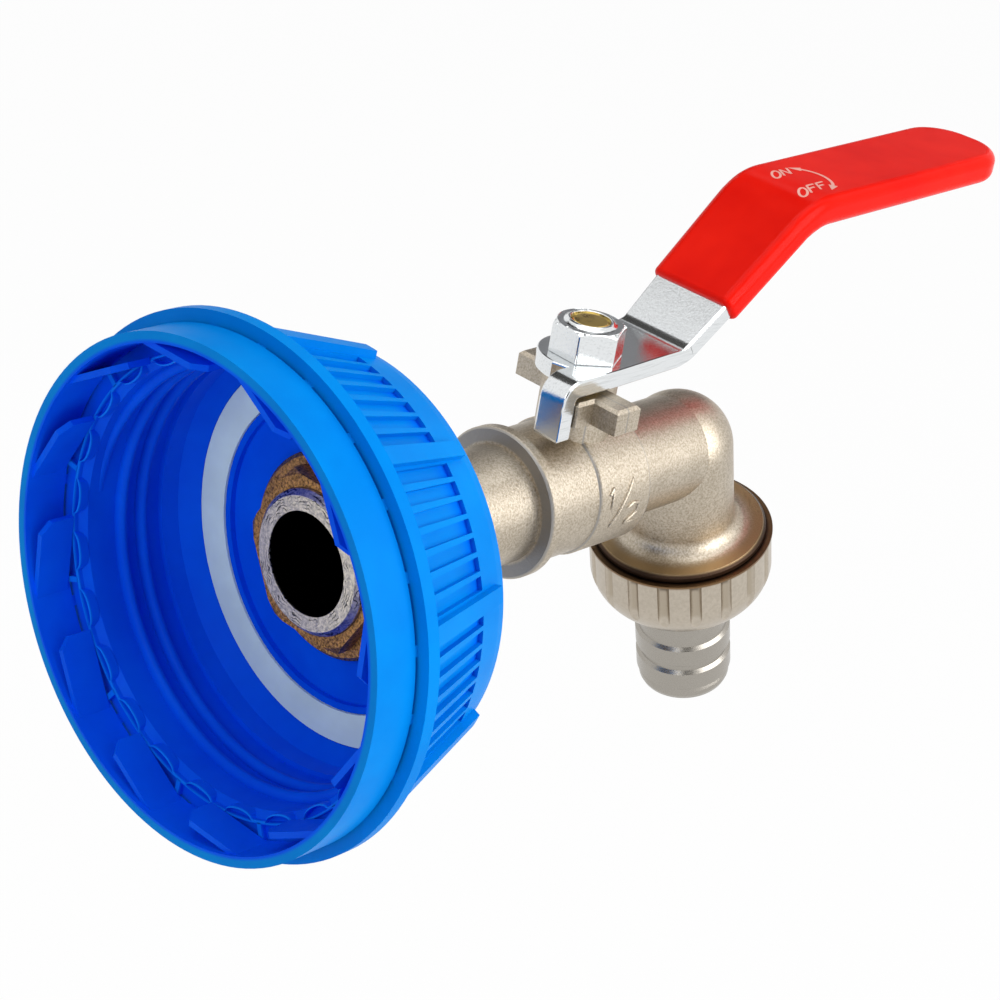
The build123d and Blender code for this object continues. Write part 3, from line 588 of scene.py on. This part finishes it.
def cap_blue(colours):
    """Satin polyethylene of the cap, with painted shade inside the tamper ring: a deeper blue there than outside.
    """
    tree = FinishTree("moulded blue")
    mottle = tree.noise(BLUE_MOTTLE)
    outside = tree.ramp(mottle, colours.cap_deep, colours.cap)
    # Painted shade: deeper blue inside the tamper ring
    inside = tree.ramp(mottle, colours.cap_inside_shade_deep, colours.cap_inside_shade)
    away = tree.away(ORIGIN, X_AXIS)
    cone = tree.both(away, tree.along(ORIGIN, INSIDE_SLOPE * X_AXIS), "ADD")
    # Where the painted shade inside the cap lies
    inside_shade_mask = tree.both(tree.edge(away, *INSIDE_RADIUS), tree.edge(cone, *INSIDE_CONE))
    inside_shade_mask = tree.both(inside_shade_mask, tree.edge(tree.along(ORIGIN, X_AXIS), *INSIDE_END))
    tree.wire(tree.blend(inside_shade_mask, outside, inside), "Base Color")
    return blue_skin(tree)


def blue_skin(tree):
    """Gloss and relief of the moulded blue."""
    tree.wire(tree.span(tree.noise(400.0), 0.34, 0.46), "Roughness")
    socket(tree.bsdf, "Specular IOR Level", 0.03)
    tree.bump(tree.noise(700.0), 0.05, 0.0002)
    return tree.material


def soft_finish(name, colour, roughness, scale):
    """Plain soft material with a faint mottle."""
    tree = FinishTree(name)
    darker = [channel * 0.9 for channel in colour[:3]] + [1.0]
    tree.wire(tree.ramp(tree.noise(scale), darker, colour), "Base Color")
    tree.wire(tree.span(tree.noise(scale * 3), roughness, roughness + 0.12), "Roughness")
    return tree.material


def cast_skin(name, light, dark, roughness, grain, relief):
    """Tree and colour of a casting: speckled colour, uneven gloss and a grainy relief."""
    tree = FinishTree(name)
    grains = tree.noise(grain, detail=3.0, roughness=0.7)
    patches = tree.span(tree.noise(grain * 0.06, detail=2.0), 0.82, 1.12)
    colour = tree.ramp(tree.both(grains, patches), dark, light, 0.36, 0.60)
    socket(tree.bsdf, "Metallic", 1.0)
    tree.wire(tree.span(grains, roughness - 0.08, roughness + 0.12), "Roughness")
    tree.bump(grains, relief, 0.0003)
    return tree, colour


def cast_metal(name, light, dark, roughness, grain, relief):
    """Plated or raw casting."""
    tree, colour = cast_skin(name, light, dark, roughness, grain, relief)
    tree.wire(colour, "Base Color")
    return tree.material


def body_nickel(colours):
    """Cast nickel with a brown film on the outlet disc, painted shade at the disc's edge and in the seam lines."""
    tree, colour = cast_skin("body nickel", colours.nickel, colours.nickel_dark, *NICKEL_SKIN)
    down = tree.along(OUTLET_START, OUTLET_DIRECTION)
    wide = tree.away(OUTLET_START, OUTLET_DIRECTION)
    along = tree.along(ORIGIN, X_AXIS)
    # Painted shade in the seam lines at the body's joints and steps
    for seam, half in BODY_SEAM_SHADE:
        colour = tree.blend(tree.band(along, seam, half), colour, colours.shade)
    on_disc = tree.both(tree.edge(down, *DISC_DOWN), tree.edge(wide, *DISC_WIDE))
    colour = tree.blend(on_disc, colour, colours.tarnish)
    # Painted shade at the disc's edge beside the union nut
    disc_edge_shade = tree.both(tree.edge(down, *DISC_EDGE_DOWN), tree.edge(wide, *DISC_EDGE_WIDE))
    tree.wire(tree.blend(disc_edge_shade, colour, colours.joint_shade), "Base Color")
    return tree.material


def union_nickel(colours):
    """Satin nickel with a brown film on the nut's rim, a brown film and painted shade in the flutes, and painted
    shade in the groove beside the disc.
    """
    tree, colour = cast_skin("union nickel", colours.union, colours.union_dark, 0.30, 1500.0, 0.10)
    down = tree.along(OUTLET_START, OUTLET_DIRECTION)
    wide = tree.away(OUTLET_START, OUTLET_DIRECTION)
    # Brown film and painted shade in the flutes' hollows
    hollow_film_and_shade = tree.both(tree.edge(wide, *FLUTE_WIDE), tree.edge(down, *FLUTE_DOWN))
    colour = tree.blend(hollow_film_and_shade, colour, colours.flute_film_and_shade)
    colour = tree.blend(tree.edge(down, *RIM_DOWN), colour, colours.rim)
    # Painted shade in the groove beside the disc
    groove_shade = tree.both(tree.edge(wide, *GROOVE_WIDE), tree.edge(down, *GROOVE_DOWN))
    tree.wire(tree.blend(groove_shade, colour, colours.joint_shade), "Base Color")
    return tree.material


def pipe_nickel(colours):
    """Cast nickel with a rough turned end, scored in rings, painted shade on the collar's front and in the seam,
    and painted shade darkening the inside of the pipe.
    """
    tree, colour = cast_skin("pipe nickel", colours.nickel, colours.nickel_dark, *NICKEL_SKIN)
    along = tree.along(ORIGIN, X_AXIS)
    away = tree.away(ORIGIN, X_AXIS)
    # Painted shade: the collar's front face is darkened
    collar_shade_mask = tree.both(tree.edge(along, *COLLAR_BACK), tree.edge(away, *COLLAR_WIDE))
    colour = tree.blend(tree.both(collar_shade_mask, tree.edge(along, *COLLAR_FRONT)), colour, colours.shade)
    # Painted shade in the seam between the pipe and the body
    colour = tree.blend(tree.band(along, *PIPE_SEAM_SHADE), colour, colours.joint_shade)
    marks = tree.noise(1500.0, detail=6.0, roughness=0.7)
    scored = tree.ramp(marks, colours.shade, colours.cut_steel, 0.36, 0.58)
    lines = tree.edge(tree.rings(SCORE_SPACING, 11.0), 0.40, 0.05)
    broken = tree.edge(tree.noise(380.0), 0.44, 0.60)
    scored = tree.blend(tree.both(lines, broken), scored, colours.smudge)
    colour = tree.blend(tree.edge(along, *PIPE_END), colour, scored)
    # Painted shade: the inside of the pipe darkened nearly to black
    inside = tree.both(tree.edge(away, *BORE_WIDE), tree.edge(along, *BORE_START))
    tree.wire(tree.blend(inside, colour, colours.bore_shade), "Base Color")
    return tree.material


def bright_metal(name, light, dark, roughness, stretch):
    """Bright metal with fine drawn scratches along one axis."""
    tree = FinishTree(name)
    scratches = tree.noise(420.0, detail=5.0, roughness=0.6, stretch=stretch)
    socket(tree.bsdf, "Metallic", 1.0)
    tree.wire(tree.span(scratches, roughness, roughness + 0.06), "Roughness")
    tree.bump(scratches, 0.18, 0.0001)
    tree.wire(tree.ramp(scratches, dark, light, 0.30, 0.50), "Base Color")
    return tree.material


def dipped_red(colours):
    """Glossy dipped sleeve with a slightly uneven skin."""
    tree = FinishTree("dipped red")
    tree.wire(tree.ramp(tree.noise(60.0), colours.sleeve_deep, colours.sleeve), "Base Color")
    tree.wire(tree.span(tree.noise(150.0), 0.16, 0.26), "Roughness")
    socket(tree.bsdf, "Specular IOR Level", 0.07)
    tree.bump(tree.noise(120.0), 0.05, 0.0003)
    return tree.material


def finishes(colours):
    """Every finish by the record's slot."""
    return {
        "cap_blue": cap_blue(colours),
        "seal_white": soft_finish("white seal", colours.seal, 0.35, 120.0),
        "cast_brass": cast_metal("cast brass", colours.cast_brass, colours.cast_brass_dark,
                                 0.50, 2200.0, 0.5),
        "rubber_black": soft_finish("black rubber", colours.rubber, 0.55, 300.0),
        "nickel_cast": cast_metal("cast nickel", colours.nickel, colours.nickel_dark, *NICKEL_SKIN),
        "nickel_satin": cast_metal("satin nickel", colours.satin, colours.satin_dark, 0.27, 5000.0, 0.02),
        "soft_white": soft_finish("soft white", colours.soft_white, 0.40, 200.0),
        "plain_brass": bright_metal("turned brass", colours.brass, colours.brass_dark,
                                    0.25, (1.0, 1.0, 14.0)),
        "plated_steel": bright_metal("plated steel", colours.steel, colours.steel_dark,
                                     0.12, (0.4, 8.0, 8.0)),
        "sleeve_red": dipped_red(colours),
    }


def node_finishes(colours):
    """Finishes of the nodes that wear differently over their length."""
    return {
        "valve_body": body_nickel(colours),
        "union_nut": union_nickel(colours),
        "inlet_pipe": pipe_nickel(colours),
    }


# Edges sharper than this angle are rounded, and points closer than this length are joined first
SHARP_DEG = 35
JOIN_LENGTH = 0.001 * MM


def soften_edges(node, width):
    """Rounds a node's sharp edges with live modifiers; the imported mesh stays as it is."""
    weld = node.modifiers.new("weld", "WELD")
    weld.merge_threshold = JOIN_LENGTH
    bevel = node.modifiers.new("edges", "BEVEL")
    bevel.width = width
    bevel.segments = 3
    bevel.limit_method = "ANGLE"
    bevel.angle_limit = math.radians(SHARP_DEG)
    bevel.use_clamp_overlap = False
    flat = node.modifiers.new("flat faces", "WEIGHTED_NORMAL")
    flat.mode = "FACE_AREA"
    flat.weight = 100
    flat.keep_sharp = True


def finish_for(slot):
    """The material of a slot, made by the finishes operator."""
    names = {"cap_blue": "moulded blue", "nickel_cast": "cast nickel"}
    return bpy.data.materials[names[slot]]


# Operators


class TAP_OT_finishes(bpy.types.Operator):
    """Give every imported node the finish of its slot."""

    bl_idname = "tap.finishes"
    bl_label = "Finishes"

    def execute(self, context):
        colours, sizes, _ = settings()
        by_slot = finishes(colours)
        by_node = node_finishes(colours)
        for entry in frame["record"]["subparts"]:
            node = frame["nodes"][entry["node"]]
            node.data.materials.clear()
            node.data.materials.append(by_node.get(entry["node"], by_slot[entry["material_slot"]]))
        soften_edges(frame["nodes"]["lever"], sizes.edge_round)
        soften_edges(frame["nodes"]["lever_nut"], sizes.nut_edge_round)
        return {"FINISHED"}


class TAP_OT_cap_thread(bpy.types.Operator):
    """Thread ridge inside the cap."""

    bl_idname = "tap.cap_thread"
    bl_label = "Cap thread"

    def execute(self, context):
        _, sizes, _ = settings()
        points = inner_thread(sizes.cap_wall_radius, sizes.cap_thread_height, sizes.cap_thread_pitch,
                              sizes.cap_thread_turns, sizes.cap_thread_start)
        add_grid("cap_thread", points, "tap_body", finish_for("cap_blue"), close_columns=True)
        return {"FINISHED"}


class TAP_OT_cap_lip(bpy.types.Operator):
    """Lip with half-moon pockets at the mouth of the cap, and the posts that tie it to the tamper ring."""

    bl_idname = "tap.cap_lip"
    bl_label = "Cap lip"

    def execute(self, context):
        colours, sizes, _ = settings()
        # The lip's material carries painted shade and a painted highlight
        thin_blue = lip_blue(colours, -sizes.lip_height)
        points = pocketed_lip(sizes.lip_outer_radius, sizes.lip_inner_radius, sizes.lip_pocket_bulge,
                              sizes.lip_pockets, -sizes.lip_height, LIP_BACK)
        add_grid("cap_lip", points, "tap_body", thin_blue, close_rows=True, close_columns=True,
                 smooth=False)
        posts, faces = radial_posts(sizes.lip_outer_radius - POST_OVERLAP, POST_OUTER_RADIUS, POST_WIDTH,
                                    -sizes.lip_height, POST_BACK, sizes.lip_posts, POST_FIRST_DEG)
        add_piece("lip_posts", posts, faces, "tap_body", thin_blue, smooth=False)
        return {"FINISHED"}


class TAP_OT_size_mark(bpy.types.Operator):
    """Raised size mark on the side of the housing."""

    bl_idname = "tap.size_mark"
    bl_label = "Size mark"

    def execute(self, context):
        _, sizes, _ = settings()
        for name, (x, angle) in MARK_LINES.items():
            points = mark_tube(np.array(x) * MM, angle, sizes.housing_radius, sizes.mark_radius)
            add_grid(name, points, "tap_body", finish_for("nickel_cast"), close_columns=True)
        return {"FINISHED"}


class TAP_OT_sleeve_print(bpy.types.Operator):
    """ON, OFF and the curved double arrow on the sleeve."""

    bl_idname = "tap.sleeve_print"
    bl_label = "Sleeve print"

    def execute(self, context):
        colours, sizes, _ = settings()
        material = soft_finish("sleeve print", colours.print_white, 0.25, 500.0)
        letter_stroke = sizes.print_width / MM
        strips = []
        for word, left, base in PRINT_WORDS:
            for letter in word:
                samples = ROUND_LETTER_STEPS if letter == "O" else LETTER_STEPS
                for line in letter_lines(letter, left, base, LETTER_WIDTH, LETTER_HEIGHT, LETTER_SHEAR):
                    strips.append(stroke_strip(line, letter_stroke, samples))
                left += LETTER_WIDTH + LETTER_GAP
        turn = np.linspace(*np.radians(ARROW_TURN_DEG), ARROW_STEPS)
        circle = np.stack([np.cos(turn), np.sin(turn)], axis=1)
        arc = np.array(ARROW_CENTRE) + np.array(ARROW_HALF_AXES) * circle
        shaft = arc[HEAD_STEPS:-HEAD_STEPS]
        strips.append(stroke_strip(shaft, ARROW_WIDTH_SHARE * letter_stroke, ARROW_STEPS))
        head_width = np.linspace(*HEAD_WIDTHS, LETTER_STEPS)
        for tip, tail in ((arc[0], arc[HEAD_STEPS]), (arc[-1], arc[-1 - HEAD_STEPS])):
            strips.append(stroke_strip([tail, tip + (tip - tail) * HEAD_REACH], head_width))
        points, faces, start = [], [], 0
        for strip in strips:
            plan = strip.reshape(-1, 2) * MM
            height = sleeve_crown(plan[:, 0]) + sizes.print_lift
            points.append(np.column_stack([plan, height]))
            faces.append(grid_faces(strip.shape[0], 2) + start)
            start += len(plan)
        add_piece("sleeve_print", np.concatenate(points), np.concatenate(faces), "lever_group",
                  material)
        return {"FINISHED"}


# Lamps and cards by place and side length, in metres
KEY_PLACE = Vector((0.28, -0.88, 0.42))
KEY_SIZE = 0.9
FILL_PLACE = Vector((-0.85, -0.20, 0.45))
FILL_SIZE = 0.6
TOP_PLACE = Vector((0.05, 0.05, 0.9))
TOP_SIZE = 0.8
DARK_CARDS = {
    "camera_card": (Vector((-0.45, -0.47, 0.36)), 0.36),
    "fold_card": (Vector((0.21, 0.41, 0.55)), 0.42),
    "edge_card": (Vector((0.58, 0.13, 0.50)), 0.28),
}
BACK_CARD_PLACE = Vector((0.78, 0.56, 0.36))
BACK_CARD_SIZE = 0.62

# Half the floor's side in metres, and how much of its own white it shows to the camera
FLOOR_REACH = 3.0
FLOOR_WHITE = 0.96


class TAP_OT_stage(bpy.types.Operator):
    """Floor, world, lamps, cards and camera."""

    bl_idname = "tap.stage"
    bl_label = "Stage"

    def execute(self, context):
        colours, _, studio = settings()
        floor_surface(colours, studio)
        world_light(studio)
        lamp("key", KEY_PLACE, KEY_SIZE, studio.key_power)
        lamp("fill", FILL_PLACE, FILL_SIZE, studio.fill_power)
        lamp("top", TOP_PLACE, TOP_SIZE, studio.top_power)
        for name, (place, size) in DARK_CARDS.items():
            card(name, place, size, colours.card)
        card("back_card", BACK_CARD_PLACE, BACK_CARD_SIZE, colours.grey_card)
        place_camera()
        context.scene.view_settings.view_transform = "Standard"
        return {"FINISHED"}


def floor_surface(colours, studio):
    """Pale floor that reads white to the camera and in reflections, and keeps a trace of shadow."""
    half = np.array([-FLOOR_REACH, FLOOR_REACH])
    x, y = np.meshgrid(half, half, indexing="ij")
    points = np.stack([x, y, np.full_like(x, -studio.floor_depth)], axis=2)
    mesh = bpy.data.meshes.new("floor")
    mesh.from_pydata(points.reshape(-1, 3).tolist(), [], grid_faces(2, 2).tolist())
    floor = bpy.data.objects.new("floor", mesh)
    bpy.context.scene.collection.objects.link(floor)
    tree = FinishTree("studio floor")
    shade = [channel * 0.97 for channel in colours.floor[:3]] + [1.0]
    tree.wire(tree.ramp(tree.noise(3.0), shade, colours.floor), "Base Color")
    socket(tree.bsdf, "Roughness", 0.8)
    glow = tree.nodes.new("ShaderNodeEmission")
    mix = tree.nodes.new("ShaderNodeMixShader")
    tree.links.new(white_ray(tree.nodes, tree.links, FLOOR_WHITE), mix.inputs["Fac"])
    tree.links.new(tree.bsdf.outputs["BSDF"], mix.inputs[1])
    tree.links.new(glow.outputs["Emission"], mix.inputs[2])
    tree.links.new(mix.outputs["Shader"], tree.output.inputs["Surface"])
    floor.data.materials.append(tree.material)


def white_ray(nodes, links, share):
    """share for camera, glossy and transmission rays, 0 for the rest."""
    path = nodes.new("ShaderNodeLightPath")
    first = nodes.new("ShaderNodeMath")
    first.operation = "MAXIMUM"
    links.new(path.outputs["Is Camera Ray"], first.inputs[0])
    links.new(path.outputs["Is Glossy Ray"], first.inputs[1])
    second = nodes.new("ShaderNodeMath")
    second.operation = "MAXIMUM"
    links.new(first.outputs[0], second.inputs[0])
    links.new(path.outputs["Is Transmission Ray"], second.inputs[1])
    scaled = nodes.new("ShaderNodeMath")
    scaled.operation = "MULTIPLY"
    scaled.inputs[1].default_value = share
    links.new(second.outputs[0], scaled.inputs[0])
    return scaled.outputs[0]


def world_light(studio):
    """Even light for the object; plain white for the camera and for reflections."""
    world = bpy.data.worlds.new("studio")
    bpy.context.scene.world = world
    world.use_nodes = True
    nodes, links = world.node_tree.nodes, world.node_tree.links
    nodes.clear()
    output = nodes.new("ShaderNodeOutputWorld")
    light = nodes.new("ShaderNodeBackground")
    socket(light, "Strength", studio.world_strength)
    socket(light, "Color", (1.0, 1.0, 1.0, 1.0))
    white = nodes.new("ShaderNodeBackground")
    socket(white, "Color", (1.0, 1.0, 1.0, 1.0))
    mix = nodes.new("ShaderNodeMixShader")
    links.new(white_ray(nodes, links, 1.0), mix.inputs["Fac"])
    links.new(light.outputs["Background"], mix.inputs[1])
    links.new(white.outputs["Background"], mix.inputs[2])
    links.new(mix.outputs["Shader"], output.inputs["Surface"])


def lamp(name, place, size, power):
    """Square soft lamp that looks at the valve."""
    data = bpy.data.lights.new(name, "AREA")
    data.energy = power
    data.size = size
    item = bpy.data.objects.new(name, data)
    turn = (STEM_X * X_AXIS - place).to_track_quat("-Z", "Y")
    item.matrix_world = Matrix.Translation(place) @ turn.to_matrix().to_4x4()
    bpy.context.scene.collection.objects.link(item)


def card(name, place, size, colour):
    """Square card that the metal reflects; the camera does not see it."""
    half = np.array([-size / 2, size / 2])
    u, v = np.meshgrid(half, half, indexing="ij")
    facing = (STEM_X * X_AXIS - place).to_track_quat("Z", "Y").to_matrix().to_4x4()
    turn = np.array(Matrix.Translation(place) @ facing)
    flat = np.stack([u, v, np.zeros_like(u), np.ones_like(u)], axis=2).reshape(-1, 4) @ turn.T
    mesh = bpy.data.meshes.new(name)
    mesh.from_pydata(flat[:, :3].tolist(), [], grid_faces(2, 2).tolist())
    item = bpy.data.objects.new(name, mesh)
    bpy.context.scene.collection.objects.link(item)
    item.data.materials.append(soft_finish(name.replace("_", " "), colour, 0.7, 4.0))
    item.visible_camera = False
    item.visible_shadow = False
    item.visible_diffuse = False


def place_camera():
    """Camera on the photograph's view: rolled about its axis, with the lens centre shifted."""
    azimuth = math.radians(CAMERA_AZIMUTH_DEG)
    elevation = math.radians(CAMERA_ELEVATION_DEG)
    roll = math.radians(CAMERA_ROLL_DEG)
    away = Vector((-math.cos(elevation) * math.cos(azimuth), -math.cos(elevation) * math.sin(azimuth),
                   math.sin(elevation)))
    place = Vector(CAMERA_TARGET) + CAMERA_DISTANCE * away
    level = (-away).cross(Vector((0, 0, 1))).normalized()
    upright = level.cross(-away)
    right = math.cos(roll) * level + math.sin(roll) * upright
    up = -math.sin(roll) * level + math.cos(roll) * upright
    data = bpy.data.cameras.new("photo camera")
    data.sensor_width = SENSOR_MM
    data.sensor_fit = "HORIZONTAL"
    data.lens = CAMERA_FOCAL_PIXELS * SENSOR_MM / IMAGE_PIXELS
    data.shift_x = (IMAGE_PIXELS / 2 - CAMERA_CENTRE_PIXELS[0]) / IMAGE_PIXELS
    data.shift_y = (CAMERA_CENTRE_PIXELS[1] - IMAGE_PIXELS / 2) / IMAGE_PIXELS
    data.clip_start = 0.01
    data.clip_end = 20.0
    camera = bpy.data.objects.new("photo camera", data)
    camera.matrix_world = Matrix.Translation(place) @ Matrix((right, up, away)).transposed().to_4x4()
    bpy.context.scene.collection.objects.link(camera)
    bpy.context.scene.camera = camera


class TAP_PT_panel(bpy.types.Panel):
    """Sidebar list of the tap's operators and values."""

    bl_idname = "TAP_PT_panel"
    bl_label = "Jerry Can Tap"
    bl_space_type = "VIEW_3D"
    bl_region_type = "UI"
    bl_category = "Tap"

    def draw(self, context):
        layout = self.layout
        for operator in OPERATORS:
            layout.operator(operator.bl_idname)
        for group in (context.scene.tap_sizes, context.scene.tap_colours, context.scene.tap_studio):
            box = layout.box()
            for name in group.__annotations__:
                box.prop(group, name)


OPERATORS = (TAP_OT_finishes, TAP_OT_cap_thread, TAP_OT_cap_lip, TAP_OT_size_mark, TAP_OT_sleeve_print,
             TAP_OT_stage)
CLASSES = (TapColours, TapSizes, TapStudio, *OPERATORS, TAP_PT_panel)


def register():
    """Registers the classes and hangs the values on the scene."""
    for item in CLASSES:
        bpy.utils.register_class(item)
    bpy.types.Scene.tap_colours = PointerProperty(type=TapColours)
    bpy.types.Scene.tap_sizes = PointerProperty(type=TapSizes)
    bpy.types.Scene.tap_studio = PointerProperty(type=TapStudio)


def unregister():
    """Takes the values off the scene and unregisters the classes."""
    del bpy.types.Scene.tap_studio
    del bpy.types.Scene.tap_sizes
    del bpy.types.Scene.tap_colours
    for item in reversed(CLASSES):
        bpy.utils.unregister_class(item)


def main():
    """Builds everything in order."""
    register()
    bpy.ops.tap.finishes()
    bpy.ops.tap.cap_thread()
    bpy.ops.tap.cap_lip()
    bpy.ops.tap.size_mark()
    bpy.ops.tap.sleeve_print()
    bpy.ops.tap.stage()


if __name__ == "__main__":
    main()
